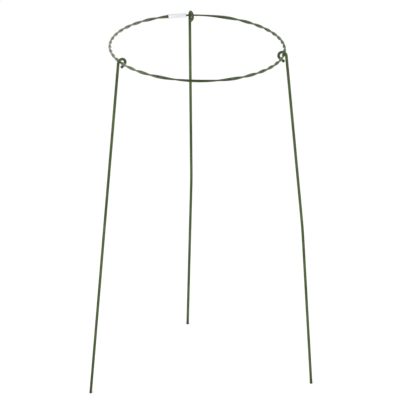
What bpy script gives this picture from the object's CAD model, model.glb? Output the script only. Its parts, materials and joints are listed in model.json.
# %% [markdown]
# # A plant support: a twisted wire ring on three wire legs
# A horizontal ring of two coated wires, twisted together and closed by a metal ferrule, hangs in
# the eyes of three coated wire legs. This lesson dresses its construction model: the solids give
# the place and the size of every piece, and the cells below build smooth, finished pieces there.
# Blender works in metres, so sizes are written in millimetres and multiplied by MM.

# %% Load the construction model
import json
import math

import bpy
import numpy as np
from mathutils import Matrix, Vector


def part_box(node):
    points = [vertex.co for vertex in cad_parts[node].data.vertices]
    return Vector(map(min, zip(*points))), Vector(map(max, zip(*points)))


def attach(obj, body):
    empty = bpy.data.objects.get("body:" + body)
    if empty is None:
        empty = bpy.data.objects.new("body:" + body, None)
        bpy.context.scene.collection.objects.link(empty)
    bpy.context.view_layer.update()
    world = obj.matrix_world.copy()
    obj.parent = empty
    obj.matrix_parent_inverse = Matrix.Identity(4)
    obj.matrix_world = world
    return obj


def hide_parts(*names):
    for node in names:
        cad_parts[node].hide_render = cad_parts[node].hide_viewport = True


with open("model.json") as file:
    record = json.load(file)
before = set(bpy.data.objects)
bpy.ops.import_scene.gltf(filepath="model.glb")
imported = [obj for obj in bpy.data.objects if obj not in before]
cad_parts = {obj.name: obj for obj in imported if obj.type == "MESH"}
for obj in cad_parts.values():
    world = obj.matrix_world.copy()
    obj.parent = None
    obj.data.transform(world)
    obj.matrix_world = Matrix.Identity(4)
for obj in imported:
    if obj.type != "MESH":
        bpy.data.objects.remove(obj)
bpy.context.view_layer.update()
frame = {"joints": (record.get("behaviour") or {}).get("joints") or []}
MM = 0.001
scene = bpy.context.scene
scene.view_settings.view_transform = "Standard"

# %% [markdown]
# ## Where the ring is
# Each leg swings on the ring, so the three hinges lie on the ring's circle. A circle is fixed by
# three of its points: its middle is where the lines that halve their distances cross. Reading it
# from the hinges keeps this script in step with the model, and gives each leg's direction too.

# %% Find the ring from the hinges
hinges = {j["child"]: np.array(j["pos_m"]) for j in frame["joints"]}
first, second, third = (hinges[b] for b in ("left_leg", "right_leg", "back_leg"))
halving = 2 * np.array([second - first, third - first])[:, :2]
squares = [p[:2] @ p[:2] - first[:2] @ first[:2] for p in (second, third)]
ring_centre = np.append(np.linalg.solve(halving, squares), first[2])
ring_r = float(np.linalg.norm(first - ring_centre))


def azimuth_of(body):
    """Direction of a leg's hinge from the middle of the ring, in radians."""
    x, y = (hinges[body] - ring_centre)[:2]
    return math.atan2(y, x)


print("ring centre", ring_centre.round(5), "radius", round(ring_r, 5))

# %% [markdown]
# ## Camera
# The picture is taken with a long lens from the front, 22 degrees above the ring and from far
# away, so the legs hardly converge. The view is set as a photographer would: a place, a turn to
# the side, a tilt down and a slight roll. The columns of the camera's matrix are the picture's
# right, its up, and the direction back to the photographer.

# %% Set the camera
PICTURE_SIDE = 400
SENSOR_WIDTH = 36
FOCAL_PIXELS = 3140
CAMERA_DISTANCE = 5.4
ABOVE_RING = math.radians(22.075)
CAMERA_YAW = math.radians(0.125)
CAMERA_PITCH = math.radians(24.858)
CAMERA_ROLL = math.radians(1.348)

forward = Vector((
    math.sin(CAMERA_YAW) * math.cos(CAMERA_PITCH),
    math.cos(CAMERA_YAW) * math.cos(CAMERA_PITCH),
    -math.sin(CAMERA_PITCH),
))
level_right = Vector((math.cos(CAMERA_YAW), -math.sin(CAMERA_YAW), 0))
rolled = Matrix.Rotation(-CAMERA_ROLL, 3, forward)
right = rolled @ level_right
up = right.cross(forward)

lens = bpy.data.cameras.new("picture_lens")
lens.sensor_width = SENSOR_WIDTH
lens.lens = FOCAL_PIXELS / PICTURE_SIDE * SENSOR_WIDTH
camera = bpy.data.objects.new("picture_camera", lens)
scene.collection.objects.link(camera)
scene.camera = camera
towards_camera = Vector((0, -math.cos(ABOVE_RING), math.sin(ABOVE_RING)))
aimed = Matrix((right, up, -forward)).transposed().to_4x4()
camera_spot = Vector(ring_centre) + CAMERA_DISTANCE * towards_camera
camera.matrix_world = Matrix.Translation(camera_spot) @ aimed
print("camera at", [round(x, 3) for x in camera_spot], "lens", round(lens.lens, 1), "mm")

# %% [markdown]
# ## Node sums as plain expressions
# Materials and geometry trees are both networks of nodes. Placing dozens of Math nodes by hand is
# hard to read, so one small class stands for an output socket: adding or multiplying two of them
# adds the Math node and links it. Any other kind of node comes from the method `node`, which sets
# the node's own settings first, because these decide which sockets it has.


# %% A socket that does arithmetic
class Term:
    """An output socket of a node tree. Arithmetic on terms adds Math nodes to that tree."""

    def __init__(self, tree, socket=None):
        self.tree, self.socket = tree, socket

    def node(self, kind, settings=None, sockets=None, out=0):
        """Adds any node: its settings, then the values or links of its sockets."""
        made = self.tree.nodes.new(kind)
        for name, value in (settings or {}).items():
            setattr(made, name, value)
        for key, value in (sockets or {}).items():
            socket = self.find(made.inputs, key)
            for item in value if isinstance(value, list) else [value]:
                if isinstance(item, Term):
                    self.tree.links.new(item.socket, socket)
                else:
                    socket.default_value = item
        return Term(self.tree, self.find(made.outputs, out) if made.outputs else None)

    @staticmethod
    def find(sockets, key):
        """The socket with that number, or the one in use with that name."""
        if isinstance(key, int):
            return sockets[key]
        return next(s for s in sockets if s.name == key and s.enabled)

    def math(self, operation, *others):
        """A Math node on this term and the others."""
        return self.math_on(operation, self, *others)

    def math_on(self, operation, *values):
        """A Math node on values in their own order, also where a number comes first."""
        return self.node("ShaderNodeMath", {"operation": operation}, dict(enumerate(values)))

    def __add__(self, other):
        return self.math("ADD", other)

    def __sub__(self, other):
        return self.math("SUBTRACT", other)

    def __rsub__(self, other):
        return self.math_on("SUBTRACT", other, self)

    def __mul__(self, other):
        return self.math("MULTIPLY", other)

    def __truediv__(self, other):
        return self.math("DIVIDE", other)

    def __rtruediv__(self, other):
        return self.math_on("DIVIDE", other, self)

    __radd__ = __add__
    __rmul__ = __mul__


print("terms can be added, subtracted, multiplied and divided")

# %% [markdown]
# ## White studio
# The picture has a plain white ground and no hard shadow, as from a light tent. A world of even
# soft light does most of it, with a large lamp above on the left and a weaker one on the right for
# some shape. What the camera and shiny metal see behind the object is white at strength 1, which
# doesn't change how much light falls on it. The feet stand on white paper, and a slight glow where
# it is seen keeps the paper as white as the ground behind it.

# %% White world
WHITE = (1, 1, 1, 1)
AMBIENT = 0.62


def seen_rays(start):
    """One for rays that show the background: from the camera, a gloss or through glass."""
    path = start.node("ShaderNodeLightPath").socket.node
    ways = ("Is Camera Ray", "Is Glossy Ray", "Is Transmission Ray")
    camera_ray, glossy_ray, clear_ray = (Term(start.tree, path.outputs[w]) for w in ways)
    return camera_ray.math("MAXIMUM", glossy_ray).math("MAXIMUM", clear_ray)


def closing(term, kind):
    """Links a term to a new output node of a material or world."""
    return term.node(kind, None, {"Surface": term})


world = bpy.data.worlds.new("white_studio")
world.use_nodes = True
world.node_tree.nodes.clear()
scene.world = world
studio = Term(world.node_tree)
soft_light = studio.node("ShaderNodeBackground", None, {"Color": WHITE, "Strength": AMBIENT})
white_ground = studio.node("ShaderNodeBackground", None, {"Color": WHITE, "Strength": 1.0})
either = {0: seen_rays(studio), 1: soft_light, 2: white_ground}
closing(studio.node("ShaderNodeMixShader", None, either), "ShaderNodeOutputWorld")
print("world light", AMBIENT, "and white where it is seen")

# %% Lamps
LAMP_AIM = Vector((0, 0, 0.35))
LAMPS = [
    ("overhead_left", (-1.7, -1.6, 3.2), 2.2, 42),
    ("side_right", (2.6, -1.4, 1.5), 1.8, 16),
]
for name, spot, side, watts in LAMPS:
    lamp = bpy.data.lights.new(name, "AREA")
    lamp.shape, lamp.size, lamp.energy = "SQUARE", side, watts
    holder = bpy.data.objects.new(name, lamp)
    holder.location = spot
    holder.rotation_euler = (LAMP_AIM - Vector(spot)).to_track_quat("-Z", "Y").to_euler()
    scene.collection.objects.link(holder)
print("lamps:", [name for name, *_ in LAMPS])

# %% White floor
FLOOR_SIDE = 24
FLOOR_DROP = 0.1 * MM
FLOOR_GLOW = 0.36
PAPER_WHITE = (0.86, 0.86, 0.86, 1)


def new_finish(name):
    """An empty material, and the first term of its tree."""
    material = bpy.data.materials.new(name)
    material.use_nodes = True
    material.node_tree.nodes.clear()
    return material, Term(material.node_tree)


floor_material, paper = new_finish("white_paper_floor")
lit = paper.node("ShaderNodeBsdfDiffuse", None, {"Color": PAPER_WHITE})
glow = paper.node("ShaderNodeEmission", None, {"Strength": seen_rays(paper) * FLOOR_GLOW})
closing(paper.node("ShaderNodeAddShader", None, {0: lit, 1: glow}), "ShaderNodeOutputMaterial")

floor_half = FLOOR_SIDE / 2
floor_mesh = bpy.data.meshes.new("studio_floor")
square = [(-1, -1), (1, -1), (1, 1), (-1, 1)]
floor_points = [(x * floor_half, y * floor_half, -FLOOR_DROP) for x, y in square]
floor_mesh.from_pydata(floor_points, [], [(0, 1, 2, 3)])
floor_mesh.materials.append(floor_material)
floor = bpy.data.objects.new("studio_floor", floor_mesh)
scene.collection.objects.link(floor)
print("floor", FLOOR_SIDE, "m across")

# %% [markdown]
# ## Finishes on the straight wire
# Coated wire is made straight: the plastic is pressed round the steel through a die, which leaves
# fine lines along it, and the wire is bent later. So every pattern here is drawn on the straight
# wire. Each piece carries an attribute named `wire`, the place of a point before bending: across
# the section in X and Y, along the wire in Z. Noise read there bends with the wire and has no seam.


# %% Helpers for finishes
def attribute(start, name, out="Fac"):
    """Value that a piece carries under that name, or zero where it carries none."""
    return start.node("ShaderNodeAttribute", {"attribute_name": name}, None, out)


def straight_wire(start):
    """Place on the straight wire, in millimetres."""
    place = attribute(start, "wire", "Vector")
    return place.node("ShaderNodeVectorMath", {"operation": "SCALE"}, {0: place, "Scale": 1 / MM})


def grain(place, features, detail=2.0):
    """Noise with so many features per millimetre, two ways across the wire and along it."""
    laid = place.node("ShaderNodeVectorMath", {"operation": "MULTIPLY"}, {0: place, 1: features})
    return laid.node("ShaderNodeTexNoise", None, {"Vector": laid, "Scale": 1.0, "Detail": detail})


def between(value, low, high):
    """Zero below low, one above high, and a smooth step in between."""
    sockets = {"Value": value, "From Min": low, "From Max": high}
    return value.node("ShaderNodeMapRange", {"interpolation_type": "SMOOTHSTEP"}, sockets)


def blend_colours(share, under, over):
    """Colour that goes from under to over with the share."""
    sockets = {"Factor": share, "A": under, "B": over}
    return share.node("ShaderNodeMix", {"data_type": "RGBA"}, sockets, "Result")


def relief(height, depth):
    """Normal of a surface with that height, in metres."""
    return height.node("ShaderNodeBump", None, {"Height": height, "Distance": depth})


def skinned(material, start, sockets):
    """The end of every finish: one surface shader with these sockets."""
    closing(start.node("ShaderNodeBsdfPrincipled", None, sockets), "ShaderNodeOutputMaterial")
    print(f"{material.name}: {len(material.node_tree.nodes)} nodes")


print("finish helpers ready")

# %% [markdown]
# ## Green plastic coat
# The wires are dull grey-green: a dark green plastic with a satin skin that picks up the white
# surroundings. On the real coat the tone drifts slowly along the wire, the die leaves fine lines,
# the skin has a slight orange peel, and handling leaves pale rubs. Where a leg was bent into its
# eye the coat is rubbed smoother and darker, and cut ends are stained. Twisting stretches the coat
# of the ring, which turns paler and greyer the tighter the twist is, most on the left. Dirt stays in
# the groove between the two strands, and where they lie slack it darkens both.

# %% Patterns on the coat
# Features per millimetre, two ways across the wire and along it
DRIFT = (0.12, 0.12, 0.025)
DIE_LINES = (2.4, 2.4, 0.015)
PEEL = (1.3, 1.3, 1.0)
DUST = (5.0, 5.0, 3.5)
RUBS = (0.7, 0.7, 0.09)
# Values where a mark begins to show and where it is full
RUB_EDGE = (0.58, 0.74)

green_coat, start = new_finish("satin_green_coat")
place = straight_wire(start)
drift = grain(place, DRIFT, detail=3.0)
die_lines = grain(place, DIE_LINES)
peel = grain(place, PEEL)
dust = grain(place, DUST)
rubs = between(grain(place, RUBS, detail=4.0), *RUB_EDGE)
bend = attribute(start, "bend")
near_cut = attribute(start, "near_cut")
strain = attribute(start, "strain")
slack = attribute(start, "slack")
groove = attribute(start, "groove")
print("coat patterns:", len(green_coat.node_tree.nodes), "nodes")

# %% Satin green coat
GREEN_DEEP = (0.060, 0.093, 0.029, 1)
GREEN_PALE = (0.116, 0.167, 0.060, 1)
RUB_GREY = (0.165, 0.205, 0.12, 1)
STRETCHED = (0.36, 0.39, 0.315, 1)
SHADED = (0.040, 0.062, 0.021, 1)
STAIN = (0.030, 0.028, 0.022, 1)
TONE_EDGE = (0.32, 0.68)
GROOVE_EDGE = (0.05, 0.6)
COAT_ROUGHNESS = 0.52
COAT_RELIEF = 0.05 * MM

# Each pattern is weighed by its share of the colour, the roughness or the relief
tone = between(drift * 0.7 + die_lines * 0.3, *TONE_EDGE)
green = blend_colours(tone, GREEN_DEEP, GREEN_PALE)
green = blend_colours(slack * 0.7, green, SHADED)
green = blend_colours(strain * (0.75 + drift * 0.35), green, STRETCHED)
green = blend_colours(rubs * (0.35 + dust * 0.4), green, RUB_GREY)
green = blend_colours(between(groove, *GROOVE_EDGE), green, STAIN)
green = blend_colours(bend * 0.35, green, GREEN_DEEP)
green = blend_colours(near_cut * (0.55 + dust * 0.5), green, STAIN)
skinned(green_coat, start, {
    "Base Color": green,
    "Roughness": COAT_ROUGHNESS + drift * 0.12 + rubs * 0.14 + dust * 0.06 - bend * 0.07,
    "Normal": relief(peel * 0.6 + die_lines * 0.5 + dust * 0.1, COAT_RELIEF),
    "IOR": 1.5,
    "Specular IOR Level": 0.12,
})

# %% [markdown]
# ## Cut steel
# Only the two cut ends of each leg show bare steel. A shear leaves a grey face with fine parallel
# marks across it and a rougher patch where the wire broke off. The noise for the marks is fine
# across X and drawn out along Y, which makes lines of it.

# %% Sheared steel
STEEL_DARK = (0.16, 0.16, 0.165, 1)
STEEL_LIGHT = (0.42, 0.42, 0.43, 1)
SHEAR_MARKS = (9.0, 0.6, 1.0)
BROKEN = (0.8, 0.8, 0.5)
BROKEN_EDGE = (0.45, 0.6)
LINE_EDGE = (0.3, 0.7)
STEEL_ROUGHNESS = 0.34
STEEL_RELIEF = 0.03 * MM

cut_steel, start = new_finish("sheared_steel")
place = straight_wire(start)
shear_marks = grain(place, SHEAR_MARKS, detail=3.0)
broken = between(grain(place, BROKEN, detail=3.0), *BROKEN_EDGE)
steel = blend_colours(between(shear_marks, *LINE_EDGE), STEEL_DARK, STEEL_LIGHT)
steel = blend_colours(broken * 0.5, steel, STEEL_DARK)
skinned(cut_steel, start, {
    "Base Color": steel,
    "Metallic": 1.0,
    "Roughness": STEEL_ROUGHNESS + broken * 0.25 + shear_marks * 0.1,
    "Normal": relief(shear_marks + broken * 0.6, STEEL_RELIEF),
})

# %% [markdown]
# ## Bright ferrule metal
# The ferrule is a bright sleeve, nearly white in a white studio. Drawing the tube leaves long fine
# lines, the crimping jaws burnish the dents that they press, and the cut rims stay duller.

# %% Drawn and crimped metal
METAL_PLAIN = (0.70, 0.71, 0.72, 1)
METAL_BRIGHT = (0.82, 0.825, 0.83, 1)
METAL_DULL = (0.42, 0.425, 0.43, 1)
DRAWN_LINES = (4.0, 4.0, 0.05)
HANDLING = (1.4, 1.4, 0.8)
HANDLING_EDGE = (0.56, 0.7)
METAL_ROUGHNESS = 0.30
METAL_RELIEF = 0.02 * MM

bright_metal, start = new_finish("drawn_bright_metal")
place = straight_wire(start)
drawn = grain(place, DRAWN_LINES, detail=3.0)
handling = between(grain(place, HANDLING, detail=4.0), *HANDLING_EDGE)
dent = attribute(start, "dent")
rim = attribute(start, "rim")
metal = blend_colours(between(drawn, *LINE_EDGE), METAL_PLAIN, METAL_BRIGHT)
metal = blend_colours(handling * 0.3, metal, METAL_DULL)
metal = blend_colours(rim * 0.8, metal, METAL_DULL)
skinned(bright_metal, start, {
    "Base Color": metal,
    "Metallic": 1.0,
    "Roughness": METAL_ROUGHNESS + drawn * 0.12 + handling * 0.12 + rim * 0.15 - dent * 0.10,
    "Normal": relief(drawn * (1 - dent * 0.6) + handling * 0.3, METAL_RELIEF),
})

# %% [markdown]
# ## A round wire along a path
# Legs and ring strands are one idea: a round section that follows a line. A curve with bevel could
# do it, but the coats are hollow sleeves with the steel inside, so a geometry tree sweeps the
# section twice, once for the outside and once, turned inside out, for the bore. The radius outside
# is read from each point of the path, so the last points can close the sleeve and round its rim.


# %% Helpers for geometry trees
def new_tree(name, inputs):
    """An empty geometry tree, with a term for each of its named inputs."""
    tree = bpy.data.node_groups.new(name, "GeometryNodeTree")
    tree.is_modifier = True
    tree.interface.new_socket("Geometry", in_out="OUTPUT", socket_type="NodeSocketGeometry")
    for label, kind in inputs.items():
        tree.interface.new_socket(label, in_out="INPUT", socket_type="NodeSocket" + kind)
    given = tree.nodes.new("NodeGroupInput")
    return tree, Term(tree), {s.name: Term(tree, s) for s in given.outputs if s.name}


def named(start, name, kind="FLOAT"):
    """Value of a named attribute of the geometry."""
    return start.node("GeometryNodeInputNamedAttribute", {"data_type": kind}, {"Name": name})


def stored(geometry, name, value, kind="FLOAT"):
    """Geometry with that value kept at its points under a name."""
    settings = {"data_type": kind, "domain": "POINT"}
    sockets = {"Geometry": geometry, "Name": name, "Value": value}
    return geometry.node("GeometryNodeStoreNamedAttribute", settings, sockets)


def without(geometry, *names):
    """Geometry without the values that only the tree itself needed."""
    for name in names:
        sockets = {"Geometry": geometry, "Name": name}
        geometry = geometry.node("GeometryNodeRemoveAttribute", None, sockets)
    return geometry


def parts_of(vector):
    """The X, Y and Z of a vector as three terms."""
    split = vector.node("ShaderNodeSeparateXYZ", None, {0: vector}).socket.node
    return [Term(vector.tree, split.outputs[k]) for k in "XYZ"]


def dressed(geometry, material):
    """The end of every tree: plain geometry with its material."""
    plain = geometry.node("GeometryNodeRealizeInstances", None, {"Geometry": geometry})
    sockets = {"Geometry": plain, "Material": material}
    painted = plain.node("GeometryNodeSetMaterial", None, sockets)
    painted.node("NodeGroupOutput", None, {0: painted})


print("tree helpers ready")


# %% Round wall
def swept_wall(path, profile, radius, capped=False):
    """Round wall of that radius along the path, with its place on the straight wire."""
    sockets = {"Curve": path, "Profile Curve": profile, "Scale": radius, "Fill Caps": capped}
    wall = path.node("GeometryNodeCurveToMesh", None, sockets)
    section = named(wall, "round", "FLOAT_VECTOR")
    x, y, _ = parts_of(section)
    straight = {"X": x * radius, "Y": y * radius, "Z": named(wall, "along")}
    return stored(wall, "wire", wall.node("ShaderNodeCombineXYZ", None, straight), "FLOAT_VECTOR")


print("a round wall can follow a path")

# %% Sleeve or solid wire
SEAM = 0.0002 * MM
# A face with more corners than those of a wall is an end cap
WALL_FACE_CORNERS = 4


def smooth(geometry, choice=None):
    """Geometry shaded smooth, or as the sockets of the choice say."""
    sockets = {"Geometry": geometry, **(choice or {})}
    return geometry.node("GeometryNodeSetShadeSmooth", None, sockets)


def is_more(value, limit):
    """True where the value is above the limit."""
    settings = {"operation": "GREATER_THAN"}
    return value.node("FunctionNodeCompare", settings, {"A": value, "B": limit})


def wire_on(start, line, bore, sides):
    """Hollow sleeve on a mesh line whose points carry `outer`, or a solid where bore is zero."""
    path = start.node("GeometryNodeMeshToCurve", None, {"Mesh": line})
    path = stored(path, "along", start.node("GeometryNodeSplineParameter", None, None, "Length"))
    circle = {"Resolution": sides, "Radius": 1.0}
    profile = start.node("GeometryNodeCurvePrimitiveCircle", None, circle)
    profile = stored(profile, "round", start.node("GeometryNodeInputPosition"), "FLOAT_VECTOR")
    outer = named(start, "outer")

    solid = smooth(swept_wall(path, profile, outer, capped=True))
    corners = start.node("GeometryNodeInputMeshFaceNeighbors")
    is_cap = is_more(corners, WALL_FACE_CORNERS + 0.5)
    solid = smooth(solid, {"Selection": is_cap, "Shade Smooth": False})

    inside = swept_wall(path, profile, bore)
    inside = inside.node("GeometryNodeFlipFaces", None, {"Mesh": inside})
    walls = [swept_wall(path, profile, outer), inside]
    sleeve = start.node("GeometryNodeJoinGeometry", None, {"Geometry": walls})
    sleeve = sleeve.node("GeometryNodeMergeByDistance", None, {"Geometry": sleeve, "Distance": SEAM})

    sockets = {"Switch": is_more(bore, 0.0), "False": solid, "True": smooth(sleeve)}
    chosen = start.node("GeometryNodeSwitch", {"input_type": "GEOMETRY"}, sockets)
    return without(chosen, "round", "along", "outer")


wire_tree, start, given = new_tree(
    "wire_along_path",
    {"Path": "Geometry", "Bore": "Float", "Sides": "Int", "Material": "Material"},
)
dressed(wire_on(start, given["Path"], given["Bore"], given["Sides"]), given["Material"])
print("wire tree:", len(wire_tree.nodes), "nodes")

# %% [markdown]
# ## Turning a tree into a piece
# A modifier's inputs are kept under the identifiers of its sockets, so they are set by identifier
# and before anything looks at the object. The evaluated result then becomes a plain mesh, and the
# modifier comes off, because a finished piece is a mesh at the origin with its place in it.


# %% Make and dress a piece
def piece_from(tree, name, inputs, mesh=None):
    """Plain mesh object of what the tree makes from a mesh with these inputs."""
    made = bpy.data.objects.new(name, mesh or bpy.data.meshes.new(name))
    scene.collection.objects.link(made)
    modifier = made.modifiers.new(name, "NODES")
    modifier.node_group = tree
    for item in tree.interface.items_tree:
        if item.in_out == "INPUT" and item.name in inputs:
            modifier[item.identifier] = inputs[item.name]
    bpy.context.view_layer.update()
    graph = bpy.context.evaluated_depsgraph_get()
    result = bpy.data.meshes.new_from_object(
        made.evaluated_get(graph), preserve_all_data_layers=True, depsgraph=graph
    )
    made.modifiers.clear()
    made.data = result
    result.name = name
    return made


def corners_of(piece):
    """Lowest and highest corner of the box round a piece."""
    points = np.empty(len(piece.data.vertices) * 3)
    piece.data.vertices.foreach_get("co", points)
    points = points.reshape(-1, 3)
    return points.min(0), points.max(0)


def takes_place_of(piece, node, body):
    """The piece rides on the body and is shown instead of the construction node."""
    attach(piece, body)
    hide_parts(node)
    low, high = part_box(node)
    off = abs(np.array(corners_of(piece)) - np.array((low, high))).max()
    faces = len(piece.data.polygons)
    print(f"{piece.name}: {faces} faces, box within {off / MM:.2f} mm of {node}")


print("a piece can be made and put in place of a construction node")

# %% [markdown]
# ## Twisted ring
# Such a ring can be made from a doubled wire, held at its two ends and turned in the middle. The
# twist is then tight at the two sides, and dies away and changes hand at the front and the back.
# That is a rule: the pair's angle follows a cosine of the direction round the ring. The tree lays a
# line of points, moves each by the rule, and sends the line through the same sleeve as the legs.
# Points of the sleeve that lie near the middle of the pair are in the groove between the strands.

# %% Inputs of a twisted strand
strand_tree, start, given = new_tree(
    "twisted_strand",
    {
        "Ring Centre": "Vector",
        "Ring Radius": "Float",
        "Strand Offset": "Float",
        "Half Turns": "Float",
        "Twist Front": "Float",
        "Stack Angle": "Float",
        "First Azimuth": "Float",
        "Sweep": "Float",
        "Outer Radius": "Float",
        "Bore": "Float",
        "Groove Reach": "Float",
        "Rings": "Int",
        "Sides": "Int",
        "Material": "Material",
    },
)
print("strand inputs:", list(given))

# %% Path of a twisted strand
# The first and the last point only close the sleeve, a lip away from their neighbours
END_LIP = 0.02 * MM
rings = given["Rings"]
index = start.node("GeometryNodeInputIndex")
share = ((index - 1) / (rings - 3)).math("MAXIMUM", 0.0).math("MINIMUM", 1.0)
is_first = index.math("LESS_THAN", 0.5)
is_last = index.math("GREATER_THAN", rings - 1.5)
lip = (is_last - is_first) * (END_LIP / given["Ring Radius"])
azimuth = given["First Azimuth"] + given["Sweep"] * share + lip
from_front = azimuth - given["Twist Front"]
twisting = 1 - from_front.math("COSINE")
pair_angle = given["Stack Angle"] + given["Half Turns"] * (math.pi / 2) * twisting
reach = given["Ring Radius"] + given["Strand Offset"] * pair_angle.math("COSINE")
twisted = start.node("ShaderNodeCombineXYZ", None, {
    "X": reach * azimuth.math("COSINE"),
    "Y": reach * azimuth.math("SINE"),
    "Z": given["Strand Offset"] * pair_angle.math("SINE"),
})
even_line = start.node("GeometryNodeMeshLine", None, {"Count": rings})
moved = {"Geometry": even_line, "Position": twisted, "Offset": given["Ring Centre"]}
strand_line = start.node("GeometryNodeSetPosition", None, moved)
hollow = given["Bore"].math("GREATER_THAN", 0.0)
closed_end = (is_first + is_last) * hollow
outer = given["Outer Radius"] * (1 - closed_end) + given["Bore"] * closed_end
strand_line = stored(strand_line, "outer", outer)
print("strand path:", len(strand_tree.nodes), "nodes")

# %% Wall of a twisted strand and values for its finish
# How sharply the stretch rises with the twist, its mean and how much more it is on the left
TIGHT_POWER = 1.5
TIGHT_MEAN = 0.70
TIGHT_LEFT = 0.30
tightness = from_front.math("SINE").math("ABSOLUTE").math("POWER", TIGHT_POWER)
leftward = TIGHT_MEAN - TIGHT_LEFT * azimuth.math("COSINE")
strand_line = stored(strand_line, "strain", tightness * leftward)
strand_line = stored(strand_line, "slack", 1 - tightness)
strand_wall = wire_on(start, strand_line, given["Bore"], given["Sides"])
ends = {0: start.node("GeometryNodeInputPosition"), 1: given["Ring Centre"]}
from_centre = start.node("ShaderNodeVectorMath", {"operation": "SUBTRACT"}, ends)
east, north, rise = parts_of(from_centre)
off_circle = (east * east + north * north).math("SQRT") - given["Ring Radius"]
off_middle = (off_circle * off_circle + rise * rise).math("SQRT")
in_groove = (1 - off_middle / given["Groove Reach"]).math("MAXIMUM", 0.0)
dressed(stored(strand_wall, "groove", in_groove), given["Material"])
print("strand tree:", len(strand_tree.nodes), "nodes")

# %% Sizes of the two strands
STRAND_WIRE_R = 1.1 * MM
STRAND_COAT = 0.25 * MM
STRAND_GAP = 0.1 * MM
HALF_TURNS = 17
TWIST_FRONT = math.radians(270)
STACK_ANGLE = math.radians(160)
FERRULE_AZIMUTH = math.radians(104.4)
BUTT_GAP = 1 * MM
GROOVE_REACH = 1.5 * MM
strand_r = STRAND_WIRE_R + STRAND_COAT
strand_offset = strand_r + STRAND_GAP / 2
pair_r = strand_offset + strand_r
butt_sweep = BUTT_GAP / ring_r
print("two strands of", round(2 * strand_r / MM, 2), "mm, pair", round(2 * pair_r / MM, 2), "mm")

# %% Make the two strands
STRAND_RINGS = 1200
STRAND_SIDES = 16


def coat_and_wire(coat_r, wire_r):
    """The two solids of a coated wire: name, radius outside and of the bore, finish and slot."""
    coat = ("coat", coat_r, wire_r, green_coat, "green_coat")
    wire = ("wire", wire_r, 0.0, cut_steel, "steel_wire")
    return coat, wire


for letter, half_turn in (("a", 0), ("b", math.pi)):
    shared = {
        "Ring Centre": ring_centre.tolist(),
        "Ring Radius": ring_r,
        "Strand Offset": strand_offset,
        "Half Turns": HALF_TURNS,
        "Twist Front": TWIST_FRONT,
        "Stack Angle": STACK_ANGLE + half_turn,
        "First Azimuth": FERRULE_AZIMUTH + butt_sweep / 2,
        "Sweep": 2 * math.pi - butt_sweep,
        "Groove Reach": GROOVE_REACH,
        "Rings": STRAND_RINGS,
        "Sides": STRAND_SIDES,
    }
    for layer, outside, bore, material, slot in coat_and_wire(strand_r, STRAND_WIRE_R):
        own = {"Outer Radius": outside, "Bore": bore, "Material": material}
        strand = piece_from(strand_tree, f"twisted_strand_{letter}_{layer}", {**shared, **own})
        takes_place_of(strand, f"ring_strand_{letter}_{layer}", "ring")

# %% [markdown]
# ## Three legs
# A leg is one wire: from the cut end of its tail, up and over the round of the eye, and down to the
# foot, with one soft bend left from the coil that the wire came from. Its centre line is drawn in
# the leg's own frame, where the ring passes through the origin, and then tilted and turned into
# place. Points lie close together only where the wire bends.

# %% Sizes of a leg in millimetres
LEG_WIRE_R = 2.0
LEG_COAT = 0.4
SEAT_GAP = 0.4
EYE_PLAY = 3.2
TAIL_ROOM = 2.6
EYE_ANGLE = math.radians(49)
SET_HEIGHT = 320
SET_ANGLE = math.radians(2)
SET_LENGTH = 40
leg_r = LEG_WIRE_R + LEG_COAT
ring_and_leg = pair_r / MM + leg_r
seat = ring_and_leg + SEAT_GAP
tail_seat = ring_and_leg + TAIL_ROOM
loop_r = ring_and_leg + EYE_PLAY / 2
set_radius = SET_LENGTH / SET_ANGLE
ring_height = ring_centre[2] / MM
print("leg wire", 2 * leg_r, "mm thick, eye", round(2 * (loop_r - leg_r), 2), "mm wide inside")

# %% Centre line of a leg
RUN_STEP = 12.0
EYE_STEPS = 72
SET_STEPS = 16


def run(a, b):
    """Points on a straight run, without its first one."""
    count = max(2, round(float(np.linalg.norm(b - a)) / RUN_STEP))
    return [a + (b - a) * k / count for k in range(1, count + 1)]


def leg_line(tilt, eye_turn, heading, tail_gap):
    """Centre line of a leg in its own frame, in millimetres, from tail to foot."""
    cosine, sine = math.cos(EYE_ANGLE), math.sin(EYE_ANGLE)
    stem = seat / math.cos(eye_turn)
    eye_z = (loop_r - tail_seat - (stem - loop_r) * cosine) / sine
    eye = np.array([stem - loop_r, 0, eye_z])
    tail_stop = (leg_r + tail_gap + leg_r * cosine) / sine
    tail_length = loop_r / math.tan(EYE_ANGLE / 2) - tail_stop
    angles = np.linspace(math.pi + EYE_ANGLE, 0, EYE_STEPS + 1)
    loop = [eye + loop_r * np.array([math.cos(a), 0, math.sin(a)]) for a in angles]
    tail_end = loop[0] + tail_length * np.array([sine, 0, -cosine])

    down = np.array([0, 0, -1])
    side = np.array([math.cos(heading), math.sin(heading), 0])
    top = np.array([stem, 0, SET_HEIGHT - ring_height])
    turns = np.linspace(0, SET_ANGLE, SET_STEPS + 1)[1:]
    soft = [top + set_radius * ((1 - math.cos(a)) * side + math.sin(a) * down) for a in turns]
    way = math.sin(SET_ANGLE) * side + math.cos(SET_ANGLE) * down

    # The lower run ends where the lowest edge of its square cut is at the ground
    placed_way, placed_end = tilt @ way, tilt @ soft[-1]
    edge = leg_r * math.sqrt(1 - placed_way[2] ** 2)
    length = (ring_height + placed_end[2] - edge) / -placed_way[2]
    foot = soft[-1] + length * way
    line = [tail_end, *run(tail_end, loop[0]), *loop[1:], *run(loop[-1], top), *soft]
    return np.array(line + run(soft[-1], foot)), eye


print("a leg is drawn from its tail to its foot")

# %% [markdown]
# ### Cut ends and bends
# Both ends of a leg are sheared off: the steel is bare, and the plastic's rim is slightly rounded.
# A few extra points at each end carry the radius of that rounding. Two more values go along the
# line for the finish: how near a point is to a cut end, and whether it lies in the bend of the eye.

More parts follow.
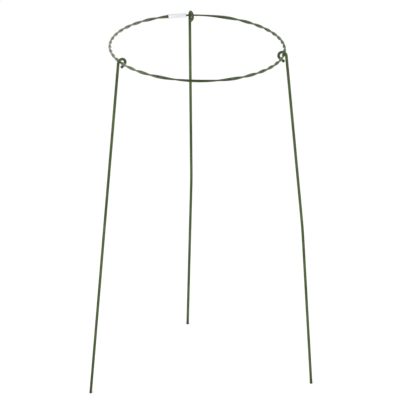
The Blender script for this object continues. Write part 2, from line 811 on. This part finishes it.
# %% Rim of a cut end
LIP = 0.02
RIM_ROUND = 0.16
RIM_STEPS = 4


def rim_profile(outside, bore):
    """Distance from the cut and radius there, from the bore's edge round to the full wall."""
    turns = np.linspace(0, math.pi / 2, RIM_STEPS + 1)
    rounded = [
        (LIP + RIM_ROUND * (1 - math.cos(a)), outside - RIM_ROUND * (1 - math.sin(a)))
        for a in turns
    ]
    return ([(0, bore)] if bore else []) + rounded


print("rim of", RIM_ROUND, "mm at every cut")

# %% Path mesh of a leg
STAIN_REACH = 1.6
BEND_FADE = 2.7


def write_values(mesh, values):
    """Keeps a number for each point of the mesh under each name."""
    for name, numbers in values.items():
        kept = mesh.attributes.new(name, "FLOAT", "POINT")
        kept.data.foreach_set("value", numbers.astype(np.float32))


def path_mesh(name, line, eye, outside, bore, placed):
    """Mesh line of a leg with the values that its wire and its finish read."""
    rim = rim_profile(outside, bore)
    first_way = (line[1] - line[0]) / np.linalg.norm(line[1] - line[0])
    last_way = (line[-1] - line[-2]) / np.linalg.norm(line[-1] - line[-2])
    points = [line[0] + d * first_way for d, _ in rim] + list(line[1:-1])
    points += [line[-1] - d * last_way for d, _ in reversed(rim)]
    radii = [r for _, r in rim] + [outside] * (len(line) - 2) + [r for _, r in reversed(rim)]
    points = np.array(points)
    to_cut = np.minimum(*(np.linalg.norm(points - line[k], axis=1) for k in (0, -1)))
    to_eye = np.linalg.norm(points - eye, axis=1)

    mesh = bpy.data.meshes.new(name)
    edges = [(k, k + 1) for k in range(len(points) - 1)]
    mesh.from_pydata([placed @ Vector(p * MM) for p in points], edges, [])
    write_values(mesh, {
        "outer": np.array(radii) * MM,
        "near_cut": np.exp(-((to_cut / STAIN_REACH) ** 2)),
        "bend": np.clip(1 - (to_eye - loop_r) / BEND_FADE, 0, 1),
    })
    return mesh


print("stains reach", STAIN_REACH, "mm from a cut")

# %% Make the legs
LEG_SIDES = 24
STANCE = {
    "left": {"splay": 3.65, "lean": -1.4, "eye_turn": 0, "heading": 60},
    "right": {"splay": 7, "lean": -0.05, "eye_turn": 0, "heading": 180},
    "back": {"splay": 2.4, "lean": -1.85, "eye_turn": 18, "heading": 90},
}
TAIL_GAP = {"left": 2.4, "right": 0.4, "back": 0.8}
for leg, degrees in STANCE.items():
    angle = {k: math.radians(v) for k, v in degrees.items()}
    body = leg + "_leg"
    tilt = (
        Matrix.Rotation(-angle["splay"], 4, "Y")
        @ Matrix.Rotation(angle["lean"], 4, "X")
        @ Matrix.Rotation(angle["eye_turn"], 4, "Z")
    )
    on_ring = Matrix.Translation(Vector(ring_centre)) @ Matrix.Rotation(azimuth_of(body), 4, "Z")
    placed = on_ring @ Matrix.Translation((ring_r, 0, 0)) @ tilt
    tilt_rows = np.array(tilt.to_3x3())
    line, eye = leg_line(tilt_rows, angle["eye_turn"], angle["heading"], TAIL_GAP[leg])
    for layer, outside, bore, material, slot in coat_and_wire(leg_r, LEG_WIRE_R):
        name = f"bent_{leg}_leg_{layer}"
        path = path_mesh(name, line, eye, outside, bore, placed)
        inputs = {"Bore": bore * MM, "Sides": LEG_SIDES, "Material": material}
        piece = piece_from(wire_tree, name, inputs, path)
        takes_place_of(piece, f"{body}_{layer}", body)

# %% [markdown]
# ## Crimp ferrule
# The ferrule is a short bent tube over both pairs of strand ends, pinched twice on its inner and
# outer side. A closed outline of its wall, with rounded rims, goes round the tube. Each point is
# pressed in where a round jaw bites, with a soft edge, because the metal flows round the jaw.

# %% Outline of the ferrule's wall
FERRULE_LENGTH = 33.0
FERRULE_PLAY = 0.1
FERRULE_WALL = 1.0
OUTER_ROUND = 0.3
MOUTH_ROUND = 0.2
ROUND_STEPS = 6
WALL_INSET = 1.0
WALL_STEPS = 120
bore_r = pair_r / MM + FERRULE_PLAY / 2
ferrule_r = bore_r + FERRULE_WALL
half_length = FERRULE_LENGTH / 2


def quarter(along, out, radius, first_turn):
    """Quarter circle about a corner's own centre, as places along the tube and radii."""
    turns = first_turn + np.linspace(0, math.pi / 2, ROUND_STEPS)
    return [(along + radius * math.cos(a), out + radius * math.sin(a)) for a in turns]


walls = np.linspace(WALL_INSET - half_length, half_length - WALL_INSET, WALL_STEPS)
outline = np.array(
    quarter(half_length - OUTER_ROUND, ferrule_r - OUTER_ROUND, OUTER_ROUND, 0)
    + [(s, ferrule_r) for s in walls[::-1]]
    + quarter(OUTER_ROUND - half_length, ferrule_r - OUTER_ROUND, OUTER_ROUND, math.pi / 2)
    + quarter(MOUTH_ROUND - half_length, bore_r + MOUTH_ROUND, MOUTH_ROUND, math.pi)
    + [(s, bore_r) for s in walls]
    + quarter(half_length - MOUTH_ROUND, bore_r + MOUTH_ROUND, MOUTH_ROUND, 3 * math.pi / 2)
)
print("ferrule outline:", len(outline), "points")

# %% Jaws of the crimping tool
CRIMP_DEPTH = 0.5
CRIMP_LENGTH = 9.0
jaw_r = ((CRIMP_LENGTH / 2) ** 2 + CRIMP_DEPTH**2) / (2 * CRIMP_DEPTH)
bite_place = half_length / 2


def jaw_limit(along):
    """How far out the jaws leave the wall at a place along the tube."""
    bites = [abs(along - side * bite_place) for side in (-1, 1)]
    near = np.minimum(np.minimum(*bites), jaw_r)
    return ferrule_r - CRIMP_DEPTH + jaw_r - np.sqrt(jaw_r**2 - near**2)


def softer_minimum(a, b, width):
    """The smaller of two values, rounded off where they are close."""
    overlap = np.clip(width - abs(a - b), 0, None) / width
    return np.minimum(a, b) - overlap**2 * width / 4


print("jaws of", round(jaw_r, 1), "mm radius bite", bite_place, "mm from the middle")

# %% Press and bend the ferrule
JAW_EDGE = 0.3
FERRULE_SIDES = 56
turns = np.arange(FERRULE_SIDES) * 2 * math.pi / FERRULE_SIDES
along, around = (v.ravel() for v in np.meshgrid(outline[:, 0], turns, indexing="ij"))
radius = np.repeat(outline[:, 1], FERRULE_SIDES)
outward, upward = radius * np.cos(around), radius * np.sin(around)
on_outside = radius > ferrule_r - OUTER_ROUND
pressed = np.sign(outward) * softer_minimum(abs(outward), jaw_limit(along), JAW_EDGE)
depth = np.where(on_outside, abs(outward) - abs(pressed), 0)
outward = np.where(on_outside, pressed, outward)
bent = FERRULE_AZIMUTH + along * MM / ring_r
far_out = ring_r + outward * MM
points = np.stack([far_out * np.cos(bent), far_out * np.sin(bent), upward * MM], 1) + ring_centre
print("deepest dent", round(depth.max(), 2), "mm")

# %% Ferrule piece
DULL_REACH = 0.7
DULL_FADE = 0.6
count, sides = len(outline), FERRULE_SIDES
faces = [
    (i * sides + k, i * sides + (k + 1) % sides, j * sides + (k + 1) % sides, j * sides + k)
    for i, j in ((i, (i + 1) % count) for i in range(count))
    for k in range(sides)
]
ferrule_mesh = bpy.data.meshes.new("pinched_ferrule")
ferrule_mesh.from_pydata(points.tolist(), [], faces)
write_values(ferrule_mesh, {
    "dent": np.clip(depth / CRIMP_DEPTH, 0, 1),
    "rim": np.clip((abs(along) - half_length + DULL_REACH) / DULL_FADE, 0, 1),
})
straight_tube = np.stack([outward, upward, along], 1) * MM
kept_wire = ferrule_mesh.attributes.new("wire", "FLOAT_VECTOR", "POINT")
kept_wire.data.foreach_set("vector", straight_tube.astype(np.float32).ravel())
ferrule_mesh.shade_smooth()
ferrule_mesh.materials.append(bright_metal)
ferrule = bpy.data.objects.new("pinched_ferrule", ferrule_mesh)
scene.collection.objects.link(ferrule)
takes_place_of(ferrule, "crimp_ferrule", "ring")
